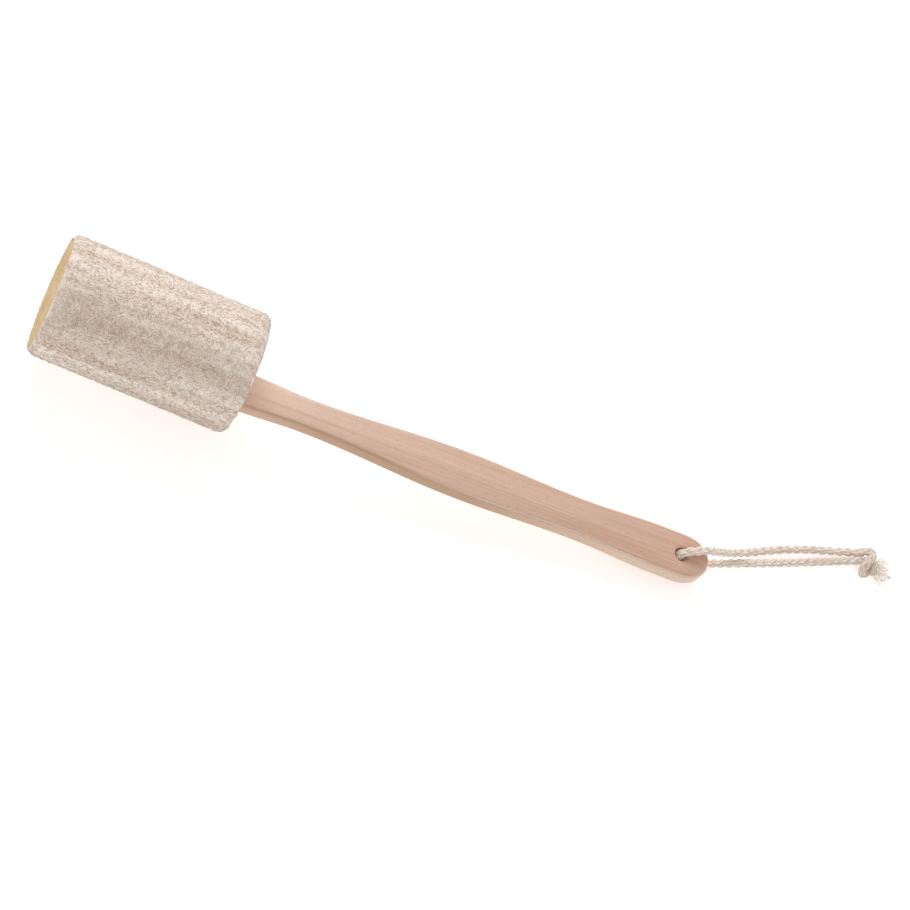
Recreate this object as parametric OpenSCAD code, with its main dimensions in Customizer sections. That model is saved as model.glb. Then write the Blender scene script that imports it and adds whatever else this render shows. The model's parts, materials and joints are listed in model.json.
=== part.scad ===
// Loofah back scrubber: a foam core wrapped in a sewn loofah sleeve, on a flat wooden handle
// with a looped cord through its tip. Millimetres. The scrubber lies on a floor at Z = 0 with its
// head at -X, its tip at +X, and the middle of its outline (without the cord) over the origin.

/* [Overall] */
// Length from the flat end of the head to the tip of the handle
total_length = 375; // [350:1:400]

/* [Head] */
// Length of the head
head_length = 110; // [100:1:120]
// Diameter of the foam core
core_d = 60; // [56:1:62]
// Thickness of the loofah sleeve
sleeve_wall = 2.6; // [2:0.1:3]
// Rounding of the sleeve's two rims
rim_round = 0.6; // [0.3:0.1:0.7]
// How far the sleeve is pressed in where it rests on the floor
rest_press = 1.6; // [0:0.1:1.8]
// Width of the seam where the two edges of the sleeve meet
seam_gap = 0.8; // [0.4:0.1:2]
// Place of the seam round the head, in degrees from +Y towards the top
seam_turn = -28; // [-60:1:60]
// Number of stitches across the seam
stitch_count = 15; // [8:1:24]
// Diameter of the sewing thread
thread_d = 1.1; // [0.6:0.1:1.6]

/* [Handle] */
// Thickness of the board
board_t = 10; // [8:0.5:12]
// Rounding of the board's long edges
edge_round = 3; // [1:0.5:3.5]
// Width of the tang and of the board where it leaves the head
mouth_w = 19.4; // [17:0.1:22]
// Width of the neck at its narrowest
neck_w = 16.6; // [14:0.1:17]
// Width of the swell under the palm
palm_w = 24.8; // [22:0.1:28]
// Width of the waist between the swell and the tip
waist_w = 21.2; // [19:0.1:22]
// Width of the lobe round the cord hole
lobe_w = 25.2; // [24:0.1:28]
// Length of the tang inside the foam
tang_length = 88; // [60:1:95]
// Diameter of the cord hole
hole_d = 8; // [8:0.1:9]
// Distance from the middle of the cord hole to the tip
hole_to_tip = 16; // [15.5:0.1:16.5]

/* [Fit of head and handle] */
// How far the head's axis is above the handle's, where the handle leaves the head
head_rise = 6; // [4:0.1:7]
// How far the head's axis is to the +Y side of the handle's, at the same place
head_side = 6.7; // [4:0.1:8]
// Angle between the two axes, seen from above
head_skew = 2.2; // [0:0.1:3]

/* [Hanging cord] */
// Diameter of the braided cord
cord_d = 4.4; // [4:0.1:4.4]
// Direction of the loop on the floor, in degrees from the handle's line towards +Y
loop_bearing = 21; // [0:1:45]

/* [Hidden] */
$fn = 96;

wood_colour = "burlywood";
foam_colour = "khaki";
loofah_colour = "antiquewhite";
thread_colour = "ivory";
cord_colour = "wheat";

// The head, on its own axis: +X towards the handle, the flat end at -head_length.
core_r = core_d / 2;
end_r = core_r + sleeve_wall;
seam_half_angle = asin(seam_gap / 2 / core_r);
stitch_length = 6.5;
stitch_lean = 24;
stitch_margin = 8;

// The handle, on its own axis: +X towards the tip, the middle of the cord hole at the origin.
mouth_x = -(total_length - head_length - hole_to_tip);
tang_x = mouth_x - tang_length;
neck_x = mouth_x + 35;
palm_x = mouth_x + 125;
waist_x = mouth_x + 190;
lobe_x = -12;
tip_run = 17;
tip_power = 2.2;
hole_rim = 0.5;
outline = [
    [tang_x, mouth_w], [mouth_x, mouth_w], [neck_x, neck_w],
    [palm_x, palm_w], [waist_x, waist_w], [lobe_x, lobe_w], [hole_to_tip, lobe_w]
];
board_step = 6;
tip_steps = 10;
edge_steps = 5;

// The scrubber at rest: the pressed rim of the head and the lower side of the loop stand on the
// floor, and the handle lies between them.
hole_z = 11.3;
first_lie = asin((end_r - rest_press - head_rise - hole_z) / -mouth_x);
head_z = end_r * cos(first_lie) - rest_press;
lie = asin((head_z - head_rise * cos(first_lie) - hole_z) / -mouth_x);
hole_x = (total_length * cos(lie) + end_r * sin(lie)) / 2 - hole_to_tip;
hole_y = -head_side - head_length / 2 * sin(head_skew);

// The cord's route from the knot over the tip, down through the hole and back under the tip:
// distance along the loop from the hole, distance to its left, height over the floor.
route = [
    [112, 3.6, 4.4], [107, 4.5, 3.3], [99, 5.6, 2.4], [90, 6.4, 2.2], [80, 7.1, 2.2],
    [68, 7.2, 2.2], [58, 6.8, 2.2], [50, 6, 2.7], [43, 5, 4], [36, 3.8, 6.5], [30, 2.7, 9.7],
    [24, 1.7, 13.6], [18, 0.8, 17.3], [12.5, 0.3, 19.5], [7.4, 0, 20], [3, 0, 18.8],
    [-0.1, 0, 15.6], [-1.3, 0, 11.3], [-0.1, 0, 7], [3, 0, 3.8], [7.4, 0, 2.6],
    [12.5, 0, 2.3], [20, 0, 2.2], [32, -0.3, 2.2], [45, -0.4, 2.2], [58, -0.5, 2.2],
    [70, -0.5, 2.2], [82, -0.3, 2.2], [93, -0.1, 2.2], [101, -0.1, 2.5], [107, -0.3, 3.3],
    [112, -0.8, 4.3]
];
mid_hole = 17;
cord_sides = 10;
cord_r = cord_d / 2;

// The knot and the two frayed ends, in the loop's own frame.
knot_r = 4.5;
knot_from = [112.3, 0.6, knot_r];
knot_to = [111, -5.4, knot_r];
tuft_length = 12;
tuft_root_r = 1.9;
tuft_end_r = 3;
tuft_drop = 5;
upper_tuft_at = [114, -2, 4.2];
upper_tuft_turn = -34;
lower_tuft_at = [111.5, -7.5, 4.2];
lower_tuft_turn = -62;

function eased(a, b, t) = a + (b - a) * (1 - cos(180 * t)) / 2;
function span_at(x, i = 0) =
    i == len(outline) - 2 || x <= outline[i + 1][0] ? i : span_at(x, i + 1);
function board_w(x) =
    let (i = span_at(x), a = outline[i], b = outline[i + 1])
    eased(a[1], b[1], (x - a[0]) / (b[0] - a[0]));

// Stations along one side of the board, [x, half width], drawn in by an inset.
function straight_stations(inset) =
    let (from = tang_x + inset, to = hole_to_tip - tip_run, n = ceil((to - from) / board_step))
    [for (i = [0 : n - 1]) let (x = from + (to - from) * i / n) [x, board_w(x) / 2 - inset]];
function tip_stations(inset) =
    let (x0 = hole_to_tip - tip_run, run = tip_run - inset)
    [for (i = [0 : tip_steps])
        let (a = 88 * i / tip_steps, x = x0 + run * pow(sin(a), 2 / tip_power))
        [x, (board_w(x) / 2 - inset) * pow(cos(a), 2 / tip_power)]];
function stations(inset) = concat(straight_stations(inset), tip_stations(inset));
// One closed outline of the board at a height, out along -Y and back along +Y.
function board_ring(inset, z) =
    let (s = stations(inset), n = len(s))
    concat(
        [for (i = [0 : n - 1]) [s[i][0], -s[i][1], z]],
        [for (i = [n - 1 : -1 : 0]) [s[i][0], s[i][1], z]]
    );
function band(a, b, n) =
    [for (i = [0 : n - 1]) let (j = (i + 1) % n) each [
        [a + i, b + i, b + j], [a + i, b + j, a + j]
    ]];

module board() {
    flat_half = board_t / 2 - edge_round;
    quarter = [for (k = [0 : edge_steps])
        let (a = 90 * k / edge_steps) [edge_round * (1 - cos(a)), flat_half + edge_round * sin(a)]];
    layers = concat(
        [for (k = [edge_steps : -1 : 0]) [quarter[k][0], -quarter[k][1]]],
        quarter
    );
    rings = [for (l = layers) board_ring(l[0], l[1])];
    n = len(rings[0]);
    top = (len(layers) - 1) * n;
    polyhedron(
        points = [for (r = rings) each r],
        faces = concat(
            [for (k = [0 : len(layers) - 2]) each band(k * n, (k + 1) * n, n)],
            [for (i = [0 : n / 2 - 2]) each [
                [i, i + 1, n - 2 - i], [i, n - 2 - i, n - 1 - i],
                [top + i + 1, top + i, top + n - 1 - i],
                [top + i + 1, top + n - 1 - i, top + n - 2 - i]
            ]]
        )
    );
}

module place_handle() {
    translate([hole_x, hole_y, hole_z]) rotate([0, lie, 0]) children();
}

module place_head() {
    place_handle()
        translate([mouth_x, head_side, head_rise])
            rotate([0, 0, -head_skew])
                children();
}

module place_loop() {
    translate([hole_x, hole_y, 0]) rotate([0, 0, loop_bearing]) children();
}

module handle() {
    color(wood_colour)
        place_handle()
            difference() {
                board();
                cylinder(h = board_t + 2, d = hole_d, center = true);
                for (side = [0, 180])
                    rotate([side, 0, 0])
                        translate([0, 0, board_t / 2 - hole_rim])
                            cylinder(h = 1, r1 = hole_d / 2, r2 = hole_d / 2 + 1);
            }
}

module foam_core() {
    color(foam_colour)
        difference() {
            place_head()
                rotate([0, -90, 0])
                    cylinder(h = head_length, r = core_r);
            place_handle() board();
        }
}

// Half of the sleeve's section, [radius, place along the head], from the flat end.
function sleeve_section() =
    let (a = rim_round)
    concat(
        [[core_r, 0]],
        [for (k = [0 : 30 : 90]) [end_r - a + a * sin(k), a - a * cos(k)]],
        [for (k = [0 : 30 : 90]) [end_r - a + a * cos(k), head_length - a + a * sin(k)]],
        [[core_r, head_length]]
    );

module loofah_sleeve() {
    color(loofah_colour)
        difference() {
            place_head()
                translate([-head_length, 0, 0])
                    rotate([seam_turn, 0, 0])
                        rotate([0, 90, 0])
                            rotate([0, 0, 90 + seam_half_angle])
                                rotate_extrude(angle = 360 - 2 * seam_half_angle)
                                    polygon(sleeve_section());
            translate([-total_length, -2 * end_r, -end_r])
                cube([2 * total_length, 4 * end_r, end_r]);
        }
}

module seam_thread() {
    pitch = (head_length - 2 * stitch_margin) / (stitch_count - 1);
    color(thread_colour)
        place_head()
            rotate([seam_turn, 0, 0])
                for (i = [0 : stitch_count - 1]) {
                    x = stitch_margin + i * pitch;
                    translate([-x, end_r - thread_d / 4, 0])
                        rotate([0, stitch_lean, 0])
                            cylinder(h = stitch_length, d = thread_d, center = true);
                }
}

// The direction of the route at a point, and the ring of the cord's surface round it.
function along(i) =
    let (
        d = route[min(i + 1, len(route) - 1)] - route[max(i - 1, 0)]
    )
    d / norm(d);
function cord_ring(i) =
    let (
        d = along(i),
        side = cross(d, [0, 1, 0]) / norm(cross(d, [0, 1, 0])),
        up = cross(d, side)
    )
    [for (k = [0 : cord_sides - 1])
        let (a = 360 * (k + 0.5) / cord_sides)
        route[i] + cord_r * (cos(a) * side + sin(a) * up)];

module cord_tube(first, last) {
    rings = last - first;
    polyhedron(
        points = [for (i = [first : last]) each cord_ring(i)],
        faces = concat(
            [[for (k = [0 : cord_sides - 1]) k]],
            [for (r = [0 : rings - 1]) each
                band(r * cord_sides, (r + 1) * cord_sides, cord_sides)],
            [[for (k = [cord_sides - 1 : -1 : 0]) rings * cord_sides + k]]
        )
    );
}

module cord_upper() {
    color(cord_colour) place_loop() cord_tube(0, mid_hole);
}

module cord_lower() {
    color(cord_colour) place_loop() cord_tube(mid_hole, len(route) - 1);
}

module cord_knot() {
    color(cord_colour)
        place_loop()
            hull() {
                translate(knot_from) sphere(knot_r, $fn = 32);
                translate(knot_to) sphere(knot_r, $fn = 32);
            }
}

module tuft(at, turn) {
    color(cord_colour)
        place_loop()
            translate(at)
                rotate([0, 90 + tuft_drop, turn])
                    cylinder(h = tuft_length, r1 = tuft_root_r, r2 = tuft_end_r);
}

module frayed_end_upper() {
    tuft(upper_tuft_at, upper_tuft_turn);
}

module frayed_end_lower() {
    tuft(lower_tuft_at, lower_tuft_turn);
}

handle();
foam_core();
loofah_sleeve();
seam_thread();
cord_upper();
cord_lower();
cord_knot();
frayed_end_upper();
frayed_end_lower();
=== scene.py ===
import json
import math

import bmesh
import bpy
from mathutils import Matrix, Vector, noise


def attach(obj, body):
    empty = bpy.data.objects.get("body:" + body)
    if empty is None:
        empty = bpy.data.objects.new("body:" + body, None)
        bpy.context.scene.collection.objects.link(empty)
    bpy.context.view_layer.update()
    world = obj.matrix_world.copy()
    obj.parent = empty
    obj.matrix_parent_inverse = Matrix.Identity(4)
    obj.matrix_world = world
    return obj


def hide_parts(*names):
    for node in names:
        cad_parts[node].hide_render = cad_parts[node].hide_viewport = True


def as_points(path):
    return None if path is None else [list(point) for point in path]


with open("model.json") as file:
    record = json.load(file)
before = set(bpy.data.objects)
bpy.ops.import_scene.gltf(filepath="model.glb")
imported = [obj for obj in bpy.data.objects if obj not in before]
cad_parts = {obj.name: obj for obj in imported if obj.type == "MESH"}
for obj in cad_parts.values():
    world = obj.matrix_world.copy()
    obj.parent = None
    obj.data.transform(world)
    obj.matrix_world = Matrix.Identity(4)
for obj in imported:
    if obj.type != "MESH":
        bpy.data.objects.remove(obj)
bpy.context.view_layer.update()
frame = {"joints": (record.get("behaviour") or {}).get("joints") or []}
stage = bpy.context.scene.collection

# ---------------------------------------------------------------------------------------------
# The place it lies in: a sheet of white card, lit softly from below as on a product table, a
# tall soft window behind it and a weak one in front. The camera looks down on its near side.
# ---------------------------------------------------------------------------------------------
look_at = Vector((0.0442, 0.0109, 0.0))
camera_distance = 1.801
camera_turn = math.radians(21.25)
camera_height = math.radians(60.02)
camera_roll = math.radians(37.98)
camera_lens = 135
camera_film = 36
sky_strength = 0.64
card_glow = 0.42
card_half = 3.0
card_white = (0.92, 0.92, 0.92, 1.0)

away = Vector((
    -math.sin(camera_turn) * math.cos(camera_height),
    -math.cos(camera_turn) * math.cos(camera_height),
    math.sin(camera_height),
))
level_right = (-away).cross(Vector((0, 0, 1))).normalized()
level_up = level_right.cross(-away)
picture_right = math.cos(camera_roll) * level_right + math.sin(camera_roll) * level_up
picture_up = away.cross(picture_right)
camera = bpy.data.objects.new("camera", bpy.data.cameras.new("camera"))
camera.data.lens = camera_lens
camera.data.sensor_width = camera_film
camera.data.clip_end = 20
camera.matrix_world = Matrix.Translation(look_at + camera_distance * away) @ Matrix(
    (picture_right, picture_up, away)).transposed().to_4x4()
stage.objects.link(camera)
bpy.context.scene.camera = camera
bpy.context.scene.view_settings.view_transform = "Standard"


class Wire:
    """A socket's output. Arithmetic on it adds the Math nodes that work it out."""

    def __init__(self, nodes, socket):
        self.nodes = nodes
        self.socket = socket

    def _sum(self, operation, *values):
        return self.nodes.add("ShaderNodeMath", {"operation": operation}, dict(enumerate(values)))

    def __add__(self, other):
        return self._sum("ADD", self, other)

    def __sub__(self, other):
        return self._sum("SUBTRACT", self, other)

    def __mul__(self, other):
        return self._sum("MULTIPLY", self, other)

    def __pow__(self, other):
        return self._sum("POWER", self, other)

    def sine(self):
        return self._sum("SINE", self)


class Nodes:
    """A node tree under construction."""

    def __init__(self, tree):
        self.tree = tree

    def put(self, socket, value):
        if isinstance(value, Wire):
            self.tree.links.new(value.socket, socket)
        else:
            socket.default_value = value

    def add(self, kind, settings=None, sockets=None, out=0):
        node = self.tree.nodes.new(kind)
        for name, value in (settings or {}).items():
            setattr(node, name, value)
        for key, value in (sockets or {}).items():
            self.put(node.inputs[key], value)
        return Wire(self, node.outputs[out])

    def blend(self, share, a, b):
        """The first colour, with a share from 0 to 1 of the second."""
        return self.add("ShaderNodeMix", {"data_type": "RGBA"}, {0: share, 6: a, 7: b}, out=2)


class Finish(Nodes):
    """A material with one Principled shader, whose sockets are set by name."""

    def __init__(self, name, **constants):
        self.material = bpy.data.materials.new(name)
        self.material.use_nodes = True
        super().__init__(self.material.node_tree)
        self.shader = self.tree.nodes["Principled BSDF"]
        for key, value in constants.items():
            self.shader.inputs[key.replace("_", " ")].default_value = value

    def place(self, name="Object"):
        return self.add("ShaderNodeTexCoord", out=name)

    def stretched(self, vector, scale, turn=(0, 0, 0)):
        return self.add("ShaderNodeMapping", None, {
            "Vector": vector, "Scale": scale, "Rotation": turn})

    def grain(self, vector, scale, detail=2.0, rough=0.5, bend=0.0):
        return self.add("ShaderNodeTexNoise", None, {
            "Vector": vector, "Scale": scale, "Detail": detail, "Roughness": rough,
            "Distortion": bend})

    def step(self, value, low, high, to_low=0.0, to_high=1.0):
        return self.add("ShaderNodeMapRange", {"clamp": True}, {
            0: value, 1: low, 2: high, 3: to_low, 4: to_high})

    def relief(self, height, depth):
        bump = self.add("ShaderNodeBump", None, {
            "Height": height, "Distance": depth, "Strength": 1.0})
        self.put(self.shader.inputs["Normal"], bump)

    def colour(self, value):
        self.put(self.shader.inputs["Base Color"], value)

    def roughness(self, value):
        self.put(self.shader.inputs["Roughness"], value)


card_finish = Finish("white card", Roughness=0.9, Specular_IOR_Level=0.1,
                     Emission_Color=(1.0, 0.99, 0.98, 1.0), Emission_Strength=card_glow)
card_tone = card_finish.grain(card_finish.place(), 40.0, 3.0)
card_finish.colour(card_finish.blend(
    card_finish.step(card_tone, 0.3, 0.7), card_white, (0.90, 0.90, 0.89, 1.0)))
card_mesh = bpy.data.meshes.new("card")
card_mesh.from_pydata(
    [(x * card_half, y * card_half, 0.0) for x, y in ((-1, -1), (1, -1), (1, 1), (-1, 1))],
    [], [(0, 1, 2, 3)])
card_mesh.materials.append(card_finish.material)
card = bpy.data.objects.new("card", card_mesh)
stage.objects.link(card)

sky = bpy.data.worlds.new("white room")
sky.use_nodes = True
sky.node_tree.nodes["Background"].inputs["Color"].default_value = (1.0, 1.0, 1.0, 1.0)
sky.node_tree.nodes["Background"].inputs["Strength"].default_value = sky_strength
bpy.context.scene.world = sky


def window(name, place, size, power):
    """A soft rectangular lamp that looks at the object."""
    lamp = bpy.data.lights.new(name, "AREA")
    lamp.shape = "RECTANGLE"
    lamp.size, lamp.size_y = size
    lamp.energy = power
    holder = bpy.data.objects.new(name, lamp)
    holder.location = place
    holder.rotation_euler = (-Vector(place)).to_track_quat("-Z", "Y").to_euler()
    stage.objects.link(holder)


window("soft window", (-0.6, 2.1, 1.7), (1.8, 1.8), 44.0)
window("near window", (0.5, -1.8, 1.6), (1.6, 1.2), 3.0)

# ---------------------------------------------------------------------------------------------
# The handle: one board of steamed beech, shaped on a spindle moulder, its long edges rounded
# and sanded, with an eased hole for the cord. The tang is glued into the foam.
# ---------------------------------------------------------------------------------------------
# The middle of the cord hole, about which the loop swings.
hole = Vector(frame["joints"][0]["pos_m"])
board_thick = 0.010
board_edge = 0.0020
board_crown = 0.0003
hole_half = 0.0040
hole_ease = 0.0009
handle_lie = math.radians(3.1447)
mouth_at = -0.249
tang_at = mouth_at - 0.088
tip_at = 0.016
tip_run = 0.017
tip_power = 2.2
tip_sweep = math.radians(89.3)
tip_rows = 32
side_rows = 150
edge_rows = 8
board_widths = [
    (tang_at, 0.0194), (mouth_at, 0.0194), (mouth_at + 0.035, 0.0166),
    (mouth_at + 0.125, 0.0248), (mouth_at + 0.190, 0.0212), (-0.012, 0.0252), (tip_at, 0.0252),
]
handle_frame = Matrix.Translation(hole) @ Matrix.Rotation(handle_lie, 4, "Y")


def new_piece(name, mesh, finish, body):
    mesh.materials.clear()
    mesh.materials.append(finish.material)
    piece = bpy.data.objects.new(name, mesh)
    stage.objects.link(piece)
    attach(piece, body)
    return piece


def plain_mesh(name, shape):
    """Ends the work on a bmesh and gives it as a mesh."""
    result = bpy.data.meshes.new(name)
    shape.to_mesh(result)
    shape.free()
    return result


def board_half(x):
    """Half the board's width, eased from each named width to the next."""
    for (x0, w0), (x1, w1) in zip(board_widths, board_widths[1:]):
        if x <= x1:
            return (w0 + (w1 - w0) * (1 - math.cos(math.pi * (x - x0) / (x1 - x0))) / 2) / 2
    return board_widths[-1][1] / 2


def board_stations(inset):
    """Half widths along the board, drawn in by an inset, to the rounded tip."""
    start, stop = tang_at + inset, tip_at - tip_run
    places = [(x, board_half(x) - inset) for x in (
        start + (stop - start) * i / side_rows for i in range(side_rows))]
    for i in range(tip_rows + 1):
        a = tip_sweep * i / tip_rows
        x = stop + (tip_run - inset) * math.sin(a) ** (2 / tip_power)
        places.append((x, (board_half(x) - inset) * math.cos(a) ** (2 / tip_power)))
    return places


def board_mesh():
    """The board: two shells of rounded edge, closed by a slightly crowned face above and below."""
    mesh = bmesh.new()
    across = 8
    layers = []
    flat = board_thick / 2 - board_edge
    for k in range(edge_rows + 1):
        a = math.pi / 2 * k / edge_rows
        layers.append((board_edge * (1 - math.cos(a)), flat + board_edge * math.sin(a)))
    shell = [(inset, -z) for inset, z in reversed(layers)] + layers
    left, right = [], []
    for inset, z in shell:
        rows = board_stations(inset)
        left.append([mesh.verts.new((x, half, z)) for x, half in rows])
        right.append([mesh.verts.new((x, -half, z)) for x, half in rows])
    for a, b in zip(range(len(shell) - 1), range(1, len(shell))):
        for rows, flip in ((left, False), (right, True)):
            for i in range(len(rows[a]) - 1):
                quad = (rows[a][i], rows[b][i], rows[b][i + 1], rows[a][i + 1])
                mesh.faces.new(quad if not flip else tuple(reversed(quad)))
        mesh.faces.new((left[a][0], right[a][0], right[b][0], left[b][0]))
        mesh.faces.new((left[b][-1], right[b][-1], right[a][-1], left[a][-1]))
    for level, sign in ((0, -1), (len(shell) - 1, 1)):
        rows = []
        for l, r in zip(left[level], right[level]):
            middle = []
            for j in range(1, across):
                t = j / across
                rise = board_crown * math.sin(math.pi * t) * sign
                middle.append(mesh.verts.new(l.co.lerp(r.co, t) + Vector((0, 0, rise))))
            rows.append([l] + middle + [r])
        for a, b in zip(rows, rows[1:]):
            for j in range(across):
                mesh.faces.new((a[j], a[j + 1], b[j + 1], b[j]) if sign > 0
                               else (b[j], b[j + 1], a[j + 1], a[j]))
    bmesh.ops.remove_doubles(mesh, verts=mesh.verts, dist=1e-6)
    bmesh.ops.recalc_face_normals(mesh, faces=mesh.faces)
    return plain_mesh("handle_board", mesh)


def hole_cutter():
    """The drill and the eased rims of the cord hole, as one turned solid."""
    outline = [(hole_half, 0.0)]
    top = board_thick / 2 + board_crown
    for k in range(edge_rows + 1):
        a = math.pi / 2 * k / edge_rows
        outline.append((hole_half + hole_ease * (1 - math.cos(a)),
                        top - hole_ease + hole_ease * math.sin(a)))
    outline.append((hole_half + hole_ease * 1.6, top + 0.0008))
    outline = [(r, -z) for r, z in reversed(outline[1:])] + outline
    mesh = bmesh.new()
    count = 64
    rings = [[mesh.verts.new((r * math.cos(2 * math.pi * k / count),
                              r * math.sin(2 * math.pi * k / count), z))
              for k in range(count)] for r, z in outline]
    for a, b in zip(rings, rings[1:]):
        for k in range(count):
            j = (k + 1) % count
            mesh.faces.new((a[k], a[j], b[j], b[k]))
    mesh.faces.new(list(reversed(rings[0])))
    mesh.faces.new(rings[-1])
    bmesh.ops.recalc_face_normals(mesh, faces=mesh.faces)
    return plain_mesh("drill", mesh)


blank = bpy.data.objects.new("board blank", board_mesh())
drill = bpy.data.objects.new("drill", hole_cutter())
for tool in (blank, drill):
    stage.objects.link(tool)
cut = blank.modifiers.new("cord hole", "BOOLEAN")
cut.operation = "DIFFERENCE"
cut.solver = "EXACT"
cut.object = drill
bpy.context.view_layer.update()
handle_mesh = bpy.data.meshes.new_from_object(
    blank.evaluated_get(bpy.context.evaluated_depsgraph_get()))
for tool in (blank, drill):
    bpy.data.objects.remove(tool)
handle_mesh.name = "handle_board"
handle_mesh.transform(handle_frame)
handle_mesh.shade_smooth()
handle_mesh.set_sharp_from_angle(angle=math.radians(35))


def along_handle(finish):
    """The object's own coordinates, turned to the length of the handle."""
    return finish.stretched(finish.place(), (1, 1, 1), (0, -handle_lie, 0))


beech = Finish("steamed beech", Roughness=0.42, Specular_IOR_Level=0.5)
along_board = along_handle(beech)
fibres = beech.grain(beech.stretched(along_board, (14, 900, 900)), 1.0, 4.0, 0.62)
rings_seen = beech.grain(
    beech.stretched(along_board, (3.2, 95, 60)), 1.0, 3.0, 0.55, 0.9)
flecks = beech.grain(beech.stretched(along_board, (420, 4200, 4200)), 1.0, 1.0, 0.5)
fleck_mask = beech.step(flecks, 0.66, 0.76)
far_along = beech.add("ShaderNodeSeparateXYZ", None, {0: along_board})
toward_tip = beech.step(far_along, -0.08, 0.18)
wood_base = beech.blend(toward_tip, (0.72, 0.510, 0.400, 1), (0.595, 0.348, 0.238, 1))
wood_base = beech.blend(
    beech.step(far_along, -0.080, -0.030, 0.90, 0.0), wood_base, (0.90, 0.665, 0.545, 1))
wood_rings = beech.blend(
    beech.step(rings_seen, 0.38, 0.66, 0.0, 0.50), wood_base, (0.50, 0.300, 0.205, 1))
wood_fibres = beech.blend(
    beech.step(fibres, 0.36, 0.70, 0.0, 0.42), wood_rings, (0.80, 0.61, 0.49, 1))
facing = beech.add("ShaderNodeSeparateXYZ", None, {0: beech.place("Normal")}, out=2)
# Faces turned sideways get painted shade in the neck half and a painted highlight in the tip half.
side_faces = beech.step(facing * facing, 0.15, 0.75, 1.0, 0.0)
side_shade_and_highlight = beech.blend(
    beech.step(far_along, 0.05, 0.14), (0.41, 0.240, 0.125, 1), (0.76, 0.585, 0.450, 1))
side_light_share = side_faces * beech.step(far_along, -0.080, -0.035, 0.36, 0.68)
wood_with_lit_sides = beech.blend(side_light_share, wood_fibres, side_shade_and_highlight)
# On the rounded edge between top and side: painted shade in the neck half and a painted highlight
# in the tip half.
edge_band = (beech.step(facing * facing, 0.20, 0.45)
          * beech.step(facing * facing, 0.55, 0.90, 1.0, 0.0))
edge_shade_and_highlight = beech.blend(
    beech.step(far_along, 0.0, 0.06), (0.48, 0.280, 0.150, 1), (0.90, 0.710, 0.560, 1))
wood_with_lit_edges = beech.blend(edge_band * 0.55, wood_with_lit_sides, edge_shade_and_highlight)
beech.colour(beech.blend(fleck_mask * 0.45, wood_with_lit_edges, (0.36, 0.20, 0.13, 1)))
beech.roughness(beech.step(fibres, 0.3, 0.7, 0.34, 0.50))
beech.relief(fibres * 0.5 - fleck_mask * 0.6, 0.00010)

handle = new_piece("handle_board", handle_mesh, beech, "scrubber")
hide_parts("handle")

# ---------------------------------------------------------------------------------------------
# The foam core: a cylinder of yellow open-cell foam, cut with a hot wire. Its flat end is bare
# and the tang is glued into a slot in the other end.
# ---------------------------------------------------------------------------------------------
core_half = 0.030
core_long = 0.110
core_ease = 0.0012
core_stop = -0.0023
core_rows = 22
rim_rows = 4
head_frame = (handle_frame @ Matrix.Translation((mouth_at, 0.0067, 0.006))
              @ Matrix.Rotation(math.radians(-2.2), 4, "Z"))


def turned(name, outline, count, warp):
    """A closed solid turned round the head's axis. Its outline runs from pole to pole or,
    when it starts and ends at the same point, closes on itself."""
    mesh = bmesh.new()
    rings = []
    for x, r in outline:
        if r < 1e-6:
            rings.append([mesh.verts.new((x, 0, 0))])
        else:
            rings.append([mesh.verts.new(warp(x, r, 2 * math.pi * k / count))
                          for k in range(count)])
    pairs = list(zip(rings, rings[1:]))
    if min(r for _, r in outline) > 1e-6:
        pairs.append((rings[-1], rings[0]))
    for a, b in pairs:
        for k in range(count):
            j = (k + 1) % count
            corners = [a[k % len(a)], a[j % len(a)], b[j % len(b)], b[k % len(b)]]
            mesh.faces.new(list(dict.fromkeys(corners)))
    bmesh.ops.recalc_face_normals(mesh, faces=mesh.faces)
    for face in mesh.faces:
        face.smooth = True
    return plain_mesh(name, mesh)


def foam_warp(x, r, a):
    """Shallow dents, pressed along the core into the half nearer to each end."""
    place = Vector((x, r * math.cos(a), r * math.sin(a)))
    dent = 0.00035 * noise.noise(place * 90) + 0.00022 * noise.noise(place * 420)
    return place + Vector((dent if x < -core_long / 2 else -dent, 0, 0))


rim_angles = [math.pi / 2 * k / rim_rows for k in range(rim_rows + 1)]
end_radii = [core_half * k / core_rows for k in range(core_rows - 1)]
core_outline = [(-core_long, r) for r in end_radii]
core_outline += [
    (-core_long + core_ease * (1 - math.cos(t)), core_half - core_ease * (1 - math.sin(t)))
    for t in rim_angles]
core_outline += [
    (core_stop - core_ease * (1 - math.sin(t)), core_half - core_ease * (1 - math.cos(t)))
    for t in rim_angles]
core_outline += [(core_stop, r) for r in reversed(end_radii)]
foam_mesh = turned("foam_core_cut", core_outline, 180, foam_warp)
foam_mesh.transform(head_frame)

foam = Finish("yellow foam", Roughness=0.95, Specular_IOR_Level=0.1, Sheen_Weight=0.2)
foam_cells = foam.add("ShaderNodeTexVoronoi", {"feature": "F1"}, {
    "Vector": foam.place(), "Scale": 900.0, "Randomness": 1.0})
foam_patch = foam.grain(foam.place(), 60.0, 3.0)
foam_base = foam.blend(
    foam.step(foam_patch, 0.35, 0.65), (0.54, 0.345, 0.140, 1), (0.63, 0.43, 0.195, 1))
# The pores, where the relief dips into the cells, are painted darker: painted shade.
foam.colour(foam.blend(
    foam.step(foam_cells, 0.0, 0.35, 0.55, 0.0), foam_base, (0.52, 0.33, 0.14, 1)))
foam.relief(foam.step(foam_cells, 0.0, 0.5) + foam_patch * 0.3, 0.00035)
foam_core = new_piece("foam_core_cut", foam_mesh, foam, "scrubber")
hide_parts("foam_core")

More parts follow.
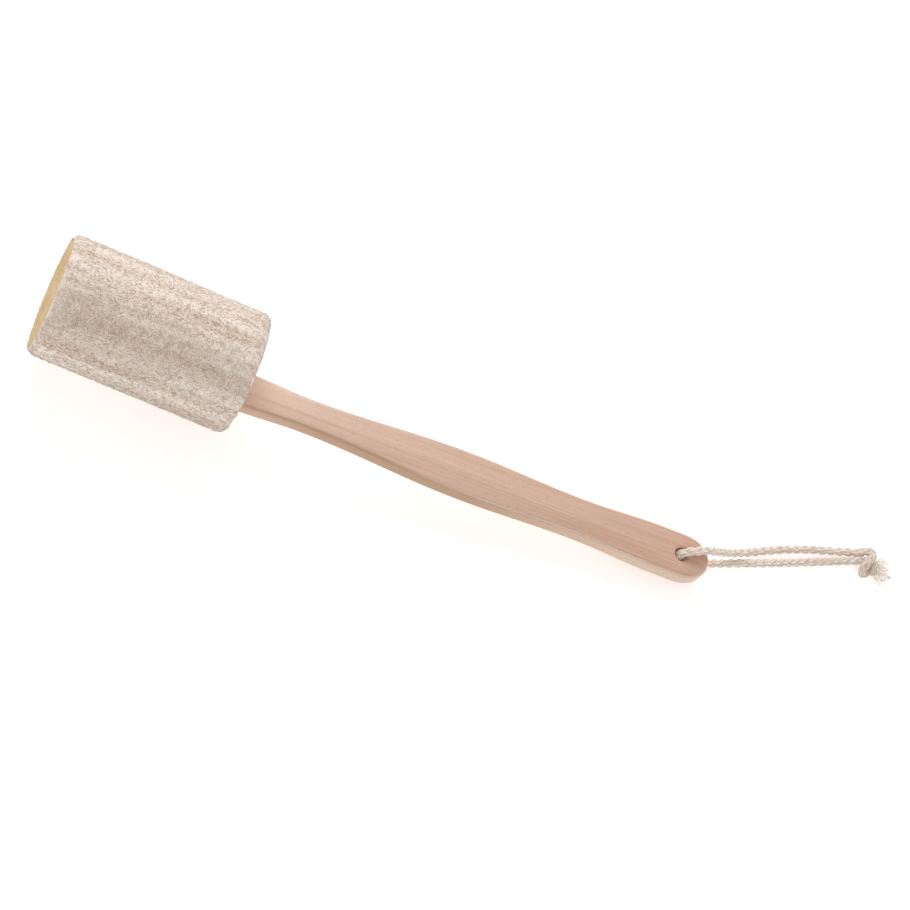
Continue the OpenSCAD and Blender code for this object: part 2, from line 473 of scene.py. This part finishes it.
# ---------------------------------------------------------------------------------------------
# The loofah sleeve: a dried gourd opened, pressed flat and wrapped round the foam. Its tangled
# fibres lie in soft lengthwise ridges, and its two rims are rounded off against the foam.
# ---------------------------------------------------------------------------------------------
sleeve_half = 0.0325
flat_rim = 0.0026
flat_rim_run = 0.0050
neck_rim = 0.0034
neck_rim_run = 0.0048
neck_end = -0.0016
seam_turn = math.radians(-28)
seam_gap = 0.0008
ridge_depth = 0.00045
seam_depth = 0.0013
flat_rim_rows = 7
neck_rim_rows = 8
sleeve_rings = 130
sleeve_around = 230
fibre_density = 0.28e6
fibre_long = 0.0026
fibre_half = 0.00014
fibre_lean = 0.22
fibre_arch = 0.00052
fibre_sway = 0.45


def ridge(a, x):
    """Height of the soft lengthwise ridges at an angle round the head."""
    wander = 0.22 * noise.noise(Vector((x * 22, 3.0, math.sin(a)))) + a
    return noise.noise(Vector((math.cos(wander) * 4.2, math.sin(wander) * 4.2, x * 6)))


def from_seam(a):
    """Distance round the sleeve from the seam."""
    gap = (a - seam_turn + math.pi) % (2 * math.pi) - math.pi
    return abs(gap) * sleeve_half


def sleeve_warp(x, r, a):
    """Ridges, fine lumps and the seam's groove. The inner edge at the neck keeps its place."""
    place = Vector((x, r * math.cos(a), r * math.sin(a)))
    if r < core_half - 0.0008:
        return place
    lift = ridge_depth * ridge(a, x)
    lift += 0.00012 * noise.noise(place * 330) + 0.00022 * noise.noise(place * 900)
    lift -= seam_depth * math.exp(-(from_seam(a) / seam_gap) ** 2)
    return Vector((x, (r + lift) * math.cos(a), (r + lift) * math.sin(a)))


def keep_off_floor(mesh, gap):
    """Presses soft surfaces up to the floor they rest on."""
    for vertex in mesh.vertices:
        vertex.co.z = max(vertex.co.z, gap)


sleeve_outline = [(-core_long + 0.0002, core_half - 0.0001)]
sleeve_outline += [
    (-core_long + flat_rim_run * (1 - math.cos(t)),
     sleeve_half - flat_rim + flat_rim * math.sin(t))
    for t in (math.pi / 2 * k / flat_rim_rows for k in range(flat_rim_rows + 1))]
sleeve_start, sleeve_stop = -core_long + flat_rim_run, neck_end - neck_rim_run
sleeve_outline += [
    (sleeve_start + (sleeve_stop - sleeve_start) * k / sleeve_rings, sleeve_half)
    for k in range(1, sleeve_rings)]
sleeve_outline += [
    (neck_end - neck_rim_run * (1 - math.sin(t)), sleeve_half - neck_rim * (1 - math.cos(t)))
    for t in (math.pi / 2 * k / neck_rim_rows for k in range(neck_rim_rows + 1))]
sleeve_outline += [(neck_end - 0.0006, core_half - 0.0016)]
sleeve_mesh = turned("loofah_mat", sleeve_outline, sleeve_around, sleeve_warp)

# The loose fibres stand on the outside of the mat only.
outside = bmesh.new()
outside.from_mesh(sleeve_mesh)
bmesh.ops.delete(outside, context="FACES", geom=[
    face for face in outside.faces
    if math.hypot(*face.calc_center_median().yz) < core_half + 0.0006])
mat_outside = plain_mesh("outside of the mat", outside)
for side_of_mat in (sleeve_mesh, mat_outside):
    side_of_mat.transform(head_frame)
    keep_off_floor(side_of_mat, 0.0001)


def soft_bands(finish):
    """Paler and darker bands along the head, from a noise of their own: painted shade of its
    lengthwise ridges.
    """
    return finish.grain(finish.stretched(along_handle(finish), (8, 115, 115)), 1.0, 2.0, 0.5)


loofah = Finish("dried loofah", Roughness=0.9, Specular_IOR_Level=0.2, Sheen_Weight=0.9,
                Sheen_Roughness=0.32)
tangle = loofah.grain(loofah.place(), 1700.0, 3.0, 0.65, 1.2)
holes = loofah.add("ShaderNodeTexVoronoi", {"feature": "DISTANCE_TO_EDGE"}, {
    "Vector": loofah.place(), "Scale": 1050.0, "Randomness": 1.0})
bands = soft_bands(loofah)
# The holes between the fibres are painted dark, deepest in the darker bands: painted shade.
shade_in_gaps = loofah.step(holes, 0.05, 0.24) * loofah.step(tangle, 0.40, 0.56, 1.0, 0.15)
# The darker bands are painted shade of the ridges.
dry_light = loofah.blend(
    loofah.step(bands, 0.36, 0.64), (0.83, 0.70, 0.59, 1), (0.98, 0.875, 0.775, 1))
loofah.colour(loofah.blend(
    shade_in_gaps * loofah.step(bands, 0.36, 0.62, 1.0, 0.45), dry_light, (0.36, 0.225, 0.140, 1)))
loofah.relief(loofah.step(holes, 0.0, 0.25, 1.0, 0.0) + tangle, 0.00012)
sleeve = new_piece("loofah_mat", sleeve_mesh, loofah, "scrubber")
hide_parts("loofah_sleeve")


def modelled(name, tree_nodes, source, settings):
    """Runs a geometry tree on a mesh with its inputs set, and gives the plain mesh."""
    holder = bpy.data.objects.new(name, source)
    stage.objects.link(holder)
    modifier = holder.modifiers.new("build", "NODES")
    modifier.node_group = tree_nodes.tree
    for item in tree_nodes.tree.interface.items_tree:
        if item.item_type == "SOCKET" and item.in_out == "INPUT" and item.name in settings:
            modifier[item.identifier] = settings[item.name]
    holder.update_tag()
    bpy.context.view_layer.update()
    graph = bpy.context.evaluated_depsgraph_get()
    result = bpy.data.meshes.new_from_object(holder.evaluated_get(graph))
    result.name = name
    bpy.data.objects.remove(holder)
    return result


class Maker(Nodes):
    """A geometry tree with named inputs."""

    def __init__(self, name, **inputs):
        super().__init__(bpy.data.node_groups.new(name, "GeometryNodeTree"))
        face = self.tree.interface
        face.new_socket("Geometry", in_out="INPUT", socket_type="NodeSocketGeometry")
        for key, kind in inputs.items():
            face.new_socket(key, in_out="INPUT", socket_type="NodeSocket" + kind)
        face.new_socket("Geometry", in_out="OUTPUT", socket_type="NodeSocketGeometry")
        self.entry = self.tree.nodes.new("NodeGroupInput")
        self.exit = self.tree.nodes.new("NodeGroupOutput")

    def given(self, name="Geometry"):
        return Wire(self, self.entry.outputs[name])

    def chance(self, low, high, seed, kind="FLOAT", each=None):
        """A random value for each element, or for each value of an index."""
        outlet = {"FLOAT": 1, "FLOAT_VECTOR": 0}[kind]
        sockets = {"Seed": seed} if each is None else {"Seed": seed, "ID": each}
        node = self.add("FunctionNodeRandomValue", {"data_type": kind}, sockets, out=outlet)
        slots = [s for s in node.socket.node.inputs if s.enabled]
        self.put(slots[0], low)
        self.put(slots[1], high)
        return node

    def finish(self, geometry, material):
        real = self.add("GeometryNodeRealizeInstances", None, {0: geometry})
        painted = self.add("GeometryNodeSetMaterial", None, {0: real, "Material": material})
        self.put(self.exit.inputs[0], painted)


def fibre_tree(name, finish, sway):
    """Bent fibres scattered on a surface, each with its own length, lean and tone."""
    maker = Maker(name, Density="Float", Length="Float", Half="Float", Lean="Float",
                  Arch="Float", Seed="Int", Steps="Int")
    seed = maker.given("Seed")
    spots = maker.add("GeometryNodeDistributePointsOnFaces", {"distribute_method": "RANDOM"}, {
        "Mesh": maker.given(), "Density": maker.given("Density"), "Seed": seed})
    upright = Wire(maker, spots.socket.node.outputs["Rotation"])
    length, arch = maker.given("Length"), maker.given("Arch")
    bend = maker.add("GeometryNodeCurveQuadraticBezier", None, {
        "Resolution": maker.given("Steps"),
        "Start": maker.add("ShaderNodeCombineXYZ", None, {0: length * -0.5, 2: arch * -0.6}),
        "Middle": maker.add("ShaderNodeCombineXYZ", None, {1: length * sway, 2: arch * 1.6}),
        "End": maker.add("ShaderNodeCombineXYZ", None, {0: length * 0.5, 2: arch * -0.6})})
    ring = maker.add("GeometryNodeCurvePrimitiveCircle", {"mode": "RADIUS"}, {
        "Resolution": 3, "Radius": maker.given("Half")})
    fibre = maker.add("GeometryNodeCurveToMesh", None, {
        "Curve": bend, "Profile Curve": ring, "Fill Caps": True})
    lean = maker.given("Lean")
    tilt = maker.add("ShaderNodeCombineXYZ", None, {
        0: maker.chance(-1.0, 1.0, seed + 1) * lean,
        1: maker.chance(-1.0, 1.0, seed + 2) * lean,
        2: maker.chance(0.0, 6.283, seed + 3)})
    aimed = maker.add("FunctionNodeRotateRotation", {"rotation_space": "LOCAL"}, {
        0: upright, 1: maker.add("FunctionNodeEulerToRotation", None, {0: tilt})})
    placed = maker.add("GeometryNodeInstanceOnPoints", None, {
        "Points": spots, "Instance": fibre, "Rotation": aimed,
        "Scale": maker.chance((0.55, -1.0, 0.4), (1.35, 1.0, 1.3), seed + 4, "FLOAT_VECTOR")})
    toned = maker.add("GeometryNodeStoreNamedAttribute", {
        "data_type": "FLOAT", "domain": "INSTANCE"}, {
        "Geometry": placed, "Name": "tone", "Value": maker.chance(0.0, 1.0, seed + 5)})
    maker.finish(toned, finish.material)
    return maker


fibre = Finish("loofah fibre", Roughness=0.85, Specular_IOR_Level=0.2, Sheen_Weight=0.8,
               Sheen_Roughness=0.35)
fibre_tone = fibre.add("ShaderNodeAttribute", {"attribute_name": "tone"}, out=2)
# The darker bands are painted shade of the ridges; the tone of each fibre is random.
fibre_light = fibre.blend(
    fibre.step(soft_bands(fibre), 0.36, 0.64), (0.85, 0.71, 0.59, 1), (0.99, 0.905, 0.82, 1))
fibre.colour(fibre.blend(fibre_tone * 0.55, fibre_light, (0.69, 0.52, 0.405, 1)))
fibre.relief(fibre.grain(fibre.place(), 3000.0, 2.0), 0.00005)

curls = fibre_tree("curled fibres", fibre, fibre_sway)
for fibres_name, fibres_seed in (("loofah_fibres_1", 11), ("loofah_fibres_2", 12)):
    fibre_mesh = modelled(fibres_name, curls, mat_outside.copy(), {
        "Density": fibre_density, "Length": fibre_long, "Half": fibre_half, "Lean": fibre_lean,
        "Arch": fibre_arch, "Seed": fibres_seed, "Steps": 4})
    keep_off_floor(fibre_mesh, 0.0)
    new_piece(fibres_name, fibre_mesh, fibre, "scrubber")

# ---------------------------------------------------------------------------------------------
# The seam: the two long edges of the sleeve are drawn together with slanting stitches of
# cotton thread.
# ---------------------------------------------------------------------------------------------
stitch_count = 15
stitch_margin = 0.008
stitch_long = 0.0065
stitch_lean = math.radians(24)
thread_half = 0.00055
stitch_arch = 0.0007


def stitch_tree(name, finish):
    """Arched stitches, one on each point of a line of points."""
    maker = Maker(name, Length="Float", Half="Float", Lean="Float", Arch="Float")
    length, arch = maker.given("Length"), maker.given("Arch")
    bend = maker.add("GeometryNodeCurveQuadraticBezier", None, {
        "Resolution": 10,
        "Start": maker.add("ShaderNodeCombineXYZ", None, {2: length * -0.5, 1: arch * -1.0}),
        "Middle": maker.add("ShaderNodeCombineXYZ", None, {1: arch}),
        "End": maker.add("ShaderNodeCombineXYZ", None, {2: length * 0.5, 1: arch * -1.0})})
    ring = maker.add("GeometryNodeCurvePrimitiveCircle", {"mode": "RADIUS"}, {
        "Resolution": 10, "Radius": maker.given("Half")})
    stitch = maker.add("GeometryNodeCurveToMesh", None, {
        "Curve": bend, "Profile Curve": ring, "Fill Caps": True})
    spin = maker.add("ShaderNodeCombineXYZ", None, {1: maker.given("Lean")})
    placed = maker.add("GeometryNodeInstanceOnPoints", None, {
        "Points": maker.given(), "Instance": stitch,
        "Rotation": maker.add("FunctionNodeEulerToRotation", None, {0: spin})})
    maker.finish(placed, finish.material)
    return maker


thread = Finish("sewing thread", Roughness=0.85, Specular_IOR_Level=0.2, Sheen_Weight=0.3)
thread_ply = thread.add("ShaderNodeTexWave", {"bands_direction": "DIAGONAL"}, {
    "Vector": thread.place(), "Scale": 700.0, "Distortion": 2.0, "Detail": 1.0})
thread.colour(thread.blend(thread_ply, (0.82, 0.74, 0.64, 1), (0.62, 0.52, 0.42, 1)))
thread.relief(thread_ply, 0.0001)
stitch_places = bpy.data.meshes.new("stitch places")
stitch_places.from_pydata([
    (-stitch_margin - (core_long - 2 * stitch_margin) * i / (stitch_count - 1),
     sleeve_half + 0.0002, 0.0) for i in range(stitch_count)], [], [])
stitch_mesh = modelled("seam_stitches", stitch_tree("slanting stitches", thread), stitch_places, {
    "Length": stitch_long, "Half": thread_half, "Lean": stitch_lean, "Arch": stitch_arch})
stitch_mesh.transform(head_frame @ Matrix.Rotation(seam_turn, 4, "X"))
stitch_mesh.shade_smooth()
stitches = new_piece("seam_stitches", stitch_mesh, thread, "scrubber")
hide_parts("seam_thread")

# ---------------------------------------------------------------------------------------------
# The hanging cord: soft white cotton in a three-strand plait. It comes out of the top of the
# hole, over the tip to the knot, and out of the bottom of the hole, under the tip to the knot.
# ---------------------------------------------------------------------------------------------
strand_half = 0.00140
strand_sway = 0.00100
strand_weave = 0.00070
plait_turn = 0.0150
ring_gap = 0.0006
strand_sides = 12
yarn_step = 0.004
curve_steps = 24
loop_heading = math.radians(21)
loop_frame = Matrix.Translation((hole.x, hole.y, 0)) @ Matrix.Rotation(loop_heading, 4, "Z")

# Millimetres along the loop, to its left and over the floor, from the middle of the hole.
upper_route = [
    (-1.3, 0, 11.3), (-0.1, 0, 15.6), (3, 0, 18.8), (7.4, 0, 20), (12.5, 0.3, 19.5),
    (18, 0.8, 17.3), (24, 1.7, 13.6), (30, 2.7, 9.7), (36, 3.8, 6.5), (43, 5, 4), (50, 6, 2.7),
    (58, 6.8, 2.2), (68, 7.2, 2.2), (80, 7.1, 2.2), (90, 6.4, 2.2), (99, 5.6, 2.4),
    (107, 4.5, 3.3), (112, 3.6, 4.4),
]
lower_route = [
    (-1.3, 0, 11.3), (-0.1, 0, 7), (3, 0, 3.8), (7.4, 0, 2.6), (12.5, 0, 2.3), (20, 0, 2.2),
    (32, -0.3, 2.2), (45, -0.4, 2.2), (58, -0.5, 2.2), (70, -0.5, 2.2), (82, -0.3, 2.2),
    (93, -0.1, 2.2), (101, -0.1, 2.5), (107, -0.3, 3.3), (112, -0.8, 4.3),
]


def smooth_line(route, gap, to_row):
    """Evenly spaced points on the smooth curve through a route in millimetres."""
    knots = [Vector(p) * 0.001 for p in route]
    knots = [2 * knots[0] - knots[1]] + knots + [2 * knots[-1] - knots[-2]]
    fine = []
    for i in range(1, len(knots) - 2):
        a, b, c, d = knots[i - 1:i + 3]
        for k in range(curve_steps):
            t = k / curve_steps
            fine.append(0.5 * (2 * b + (c - a) * t + (2 * a - 5 * b + 4 * c - d) * t * t
                               + (3 * b - a - 3 * c + d) * t ** 3))
    fine.append(knots[-2])
    total = sum((q - p).length for p, q in zip(fine, fine[1:]))
    count = max(2, round(total / gap))
    line, walked, i = [fine[0]], 0.0, 0
    for k in range(1, count):
        goal = total * k / count
        while walked + (fine[i + 1] - fine[i]).length < goal:
            walked += (fine[i + 1] - fine[i]).length
            i += 1
        line.append(fine[i].lerp(fine[i + 1], (goal - walked) / (fine[i + 1] - fine[i]).length))
    line.append(fine[-1])
    return [to_row @ p for p in line], total


def tube(mesh, uv, centres, half, sides, start=0.0):
    """One closed round strand along centres, with its length in the UV map."""
    rings = []
    side = None
    for i, c in enumerate(centres):
        ahead = (centres[min(i + 1, len(centres) - 1)] - centres[max(i - 1, 0)]).normalized()
        side = (side or ahead.orthogonal()).cross(ahead).cross(ahead).normalized() * -1
        up = ahead.cross(side)
        rings.append([mesh.verts.new(c + half * (
            math.cos(2 * math.pi * k / sides) * side + math.sin(2 * math.pi * k / sides) * up))
            for k in range(sides)])
    far = start
    for i in range(len(rings) - 1):
        step = (centres[i + 1] - centres[i]).length
        for k in range(sides):
            j = (k + 1) % sides
            face = mesh.faces.new((rings[i][k], rings[i][j], rings[i + 1][j], rings[i + 1][k]))
            face.smooth = True
            for loop, place in zip(face.loops, (
                    (k / sides, far), ((k + 1) / sides, far),
                    ((k + 1) / sides, far + step), (k / sides, far + step))):
                loop[uv].uv = (place[0], place[1] * 100)
        far += step
    mesh.faces.new(list(reversed(rings[0])))
    mesh.faces.new(rings[-1])


def plait(name, route, to_row, start=0.0, slow_turn=0.0, pinch=1.0):
    """Three strands plaited along a route. The whole plait turns slowly on its own line."""
    line, length = smooth_line(route, ring_gap, to_row)
    strands = [[], [], []]
    side = Vector((0, 0, 1))
    for i, c in enumerate(line):
        ahead = (line[min(i + 1, len(line) - 1)] - line[max(i - 1, 0)]).normalized()
        side = (side - side.dot(ahead) * ahead).normalized()
        up = ahead.cross(side)
        far = start + length * i / (len(line) - 1)
        lean = slow_turn * (far - start) / length
        flat = math.cos(lean) * up + math.sin(lean) * side
        proud = math.cos(lean) * side - math.sin(lean) * up
        for k in range(3):
            phase = 2 * math.pi * (far / plait_turn + k / 3)
            strands[k].append(
                c + pinch * (strand_sway * math.sin(phase) * flat
                             + strand_weave * math.sin(2 * phase) * proud))
    mesh = bmesh.new()
    uv = mesh.loops.layers.uv.new("UVMap")
    for k in range(3):
        tube(mesh, uv, strands[k], strand_half * pinch, strand_sides, start + yarn_step * k)
    bmesh.ops.recalc_face_normals(mesh, faces=mesh.faces)
    result = plain_mesh(name, mesh)
    keep_off_floor(result, 0.0001)
    return result, line, length


cotton = Finish("plaited cotton", Roughness=0.92, Specular_IOR_Level=0.15, Sheen_Weight=0.35,
                Sheen_Roughness=0.5)
round_strand = cotton.add("ShaderNodeSeparateXYZ", None, {0: cotton.place("UV")})
along_strand = Wire(cotton, round_strand.socket.node.outputs[1])
yarn = (round_strand * (2 * math.pi * 5) + along_strand * (2 * math.pi * 2.6)).sine()
cotton_fuzz = cotton.grain(cotton.place(), 2600.0, 3.0, 0.6)
cotton_patch = cotton.grain(cotton.place(), 130.0, 2.0)
cotton_light = cotton.blend(
    cotton.step(cotton_patch, 0.35, 0.65), (0.88, 0.76, 0.66, 1), (0.96, 0.87, 0.78, 1))
# From the knot on, the cotton is painted darker: painted shade of the knot's own turns.
cotton_far = cotton.add("ShaderNodeSeparateXYZ", None, {0: cotton.place()})
cotton_shaded_at_knot = cotton.blend(
    cotton.step(cotton_far, 0.272, 0.277, 0.0, 0.32), cotton_light, (0.62, 0.46, 0.37, 1))
# Where the yarn relief dips, the cotton is painted darker: painted shade, broken up by a random
# fuzz tone.
cotton.colour(cotton.blend(
    cotton.step(yarn * 0.5 + cotton_fuzz, 0.0, 0.75, 0.65, 0.0),
    cotton_shaded_at_knot, (0.60, 0.44, 0.34, 1)))
cotton.relief(yarn * 0.6 + cotton_fuzz, 0.00022)

cord_pieces = []
for cord_name, route, twist, cad_node, mouth in (
        ("cord_over_the_tip", upper_route, 0.5, "cord_upper", 0.0050),
        ("cord_under_the_tip", lower_route, -0.4, "cord_lower", -0.0050)):
    cord_mesh, cord_line, cord_length = plait(cord_name, route, loop_frame, 0.0, twist)
    cord_piece = new_piece(cord_name, cord_mesh, cotton, "hanging_loop")
    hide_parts(cad_node)
    cord_pieces.append((cord_piece, cord_line, cord_length, hole + Vector((0, 0, mouth))))

# ---------------------------------------------------------------------------------------------
# The knot: an overhand knot in the same plaited cotton. The end of the upper cord goes round
# both cords and out between them, and it is drawn tight by hand.
# ---------------------------------------------------------------------------------------------
round_the_knot = [
    (110.5, 4.0, 3.9), (113.2, 4.3, 4.6), (116.3, 3.4, 5.6), (116.6, 0.4, 7.0),
    (113.6, -2.2, 7.9), (110.8, -4.8, 7.0), (109.6, -7.0, 4.6), (111.2, -7.9, 2.5),
    (114.2, -5.8, 2.3), (117.0, -3.4, 3.2),
]
through_the_knot = [
    (110.5, -0.5, 3.9), (112.6, -0.9, 4.4), (114.6, -1.6, 4.6), (116.2, -4.2, 4.6),
    (116.4, -7.2, 4.0), (116.6, -8.6, 3.6),
]
knot_turn = 1.2
knot_fullness = 1.04
knot_shape = bmesh.new()
for route, phase in ((round_the_knot, 0.004), (through_the_knot, 0.009)):
    part, _, _ = plait("turn", route, loop_frame, phase, knot_turn, knot_fullness)
    knot_shape.from_mesh(part)
knot_mesh = plain_mesh("cord_knot_tied", knot_shape)
knot = new_piece("cord_knot_tied", knot_mesh, cotton, "hanging_loop")
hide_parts("cord_knot")

# ---------------------------------------------------------------------------------------------
# The frayed ends: the two cut ends of the cord. Past the knot their strands come apart into
# loose, springy cotton fibres.
# ---------------------------------------------------------------------------------------------
fray_count = 54
fray_long = 0.0135
fray_half = 0.00012
fray_wave = 0.0007


def fray_tree(name, finish):
    """A tuft: fibres that leave one spot and open into a fan."""
    maker = Maker(name, Count="Int", Length="Float", Half="Float", Spread="Float", Seed="Int")
    seed, length = maker.given("Seed"), maker.given("Length")
    line = maker.add("GeometryNodeCurvePrimitiveLine", None, {
        "Start": (0, 0, 0),
        "End": maker.add("ShaderNodeCombineXYZ", None, {0: length})})
    line = maker.add("GeometryNodeResampleCurve", None, {"Curve": line, "Count": 9})
    copies = maker.add("GeometryNodeDuplicateElements", {"domain": "SPLINE"}, {
        "Geometry": line, "Amount": maker.given("Count")})
    index = Wire(maker, copies.socket.node.outputs[1])
    far = maker.add("GeometryNodeSplineParameter")
    spread = maker.given("Spread")

    def chance(low, high, shift):
        return maker.chance(low, high, seed + shift, each=index)

    reach = chance(-0.55, 0.05, 1)
    wave = (far * 5.0 + chance(0.0, 6.0, 4)).sine() * fray_wave
    place = maker.add("ShaderNodeCombineXYZ", None, {
        0: far * reach * length,
        1: chance(-1.0, 1.0, 2) * spread * (far ** 1.3 + 0.18) + wave * far,
        2: chance(-0.75, 0.75, 3) * spread * (far ** 1.3 + 0.22) + wave * far})
    bent = maker.add("GeometryNodeSetPosition", None, {"Geometry": copies, "Offset": place})
    ring = maker.add("GeometryNodeCurvePrimitiveCircle", {"mode": "RADIUS"}, {
        "Resolution": 4, "Radius": maker.given("Half")})
    solid = maker.add("GeometryNodeCurveToMesh", None, {
        "Curve": bent, "Profile Curve": ring, "Fill Caps": True})
    maker.finish(solid, finish.material)
    return maker


loose_cotton = Finish("loose cotton", Roughness=0.9, Specular_IOR_Level=0.2)
loose_tone = loose_cotton.grain(loose_cotton.place(), 900.0, 2.0)
loose_cotton.colour(loose_cotton.blend(
    loose_cotton.step(loose_tone, 0.35, 0.65), (0.98, 0.93, 0.86, 1), (0.90, 0.80, 0.69, 1)))
loose_cotton.relief(loose_tone, 0.0001)

tufts = fray_tree("frayed end", loose_cotton)
empty_mesh = bpy.data.meshes.new("nothing")
frayed = []
for tuft_name, cad_node, at, heading, drop, spread, seed in (
        ("frayed_fibres_upper", "frayed_end_upper", (115.6, -2.6, 3.9), -8, 6, 0.0050, 3),
        ("frayed_fibres_lower", "frayed_end_lower", (115.2, -5.8, 3.9), -34, 7, 0.0048, 8)):
    tuft_mesh = modelled(tuft_name, tufts, empty_mesh.copy(), {
        "Count": fray_count, "Length": fray_long, "Half": fray_half, "Spread": spread,
        "Seed": seed})
    tuft_mesh.transform(
        loop_frame @ Matrix.Translation(Vector(at) * 0.001)
        @ Matrix.Rotation(math.radians(heading), 4, "Z")
        @ Matrix.Rotation(math.radians(drop), 4, "Y"))
    keep_off_floor(tuft_mesh, 0.0003)
    tuft = new_piece(tuft_name, tuft_mesh, loose_cotton, "hanging_loop")
    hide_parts(cad_node)
    frayed.append(tuft)

for (cord_piece, cord_line, cord_length, mouth), on_it in zip(
        cord_pieces, ([knot] + frayed, [])):
    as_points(cord_line[::3] + cord_line[-1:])
